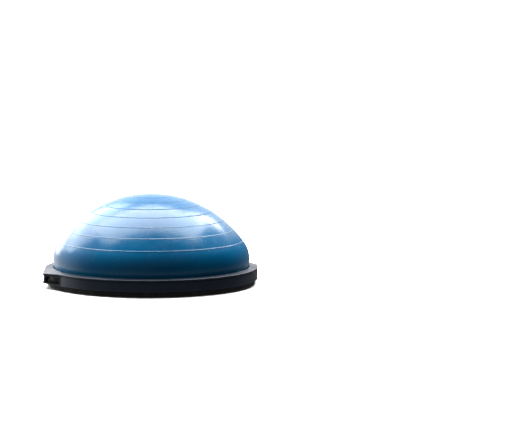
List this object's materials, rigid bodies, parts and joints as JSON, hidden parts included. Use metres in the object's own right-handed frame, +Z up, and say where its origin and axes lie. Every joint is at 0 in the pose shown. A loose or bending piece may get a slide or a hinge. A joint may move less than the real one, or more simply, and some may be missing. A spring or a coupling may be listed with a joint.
{
  "type": "balance dome trainer",
  "caption": "Air-filled ribbed dome clamped on a round rigid platform with two tie-down ears, a rubber foot ring and a plugged valve in the deck.",
  "frame": {"origin": "centre of the face that stands on the floor, under the dome's axis", "axes": "+Z up through the crown of the dome, +X through the two tie-down ears"},
  "size_m": [0.6688, 0.6314, 0.267],
  "materials": {
    "dome_vinyl": "satin blue vinyl with raised rings",
    "rim_plastic": "fine-textured charcoal moulding",
    "base_plastic": "black moulding",
    "foot_rubber": "matt black rubber",
    "steel": "zinc plated"
  },
  "bodies": {
    "platform": {"base_pan": "base_plastic", "rim_ring": "rim_plastic", "foot_ring": "foot_rubber", "bladder_floor": "dome_vinyl", "valve_socket": "foot_rubber", "valve_nut": "base_plastic", "tie_pin_left": "steel", "tie_pin_right": "steel", "rim_screw_01": "steel", "rim_screw_02": "steel", "rim_screw_03": "steel", "rim_screw_04": "steel", "rim_screw_05": "steel", "rim_screw_06": "steel", "rim_screw_07": "steel", "rim_screw_08": "steel", "rim_screw_09": "steel", "rim_screw_10": "steel", "rim_screw_11": "steel", "rim_screw_12": "steel", "rim_screw_13": "steel", "rim_screw_14": "steel", "rim_screw_15": "steel", "rim_screw_16": "steel"},
    "dome": {"dome_bladder": "dome_vinyl"},
    "plug": {"valve_plug": "base_plastic"}
  },
  "joints": [
    {"name": "dome_press", "type": "slide", "parent": "platform", "child": "dome", "axis": [0, 0, 1], "range_m": [-0.035, 0], "stiffness_N_per_m": 25000, "springref_m": 0.004, "deforming": ["dome_bladder"]},
    {"name": "valve_plug_pull", "type": "slide", "parent": "platform", "child": "plug", "axis": [0, 0, -1], "range_m": [0, 0.05]}
  ]
}
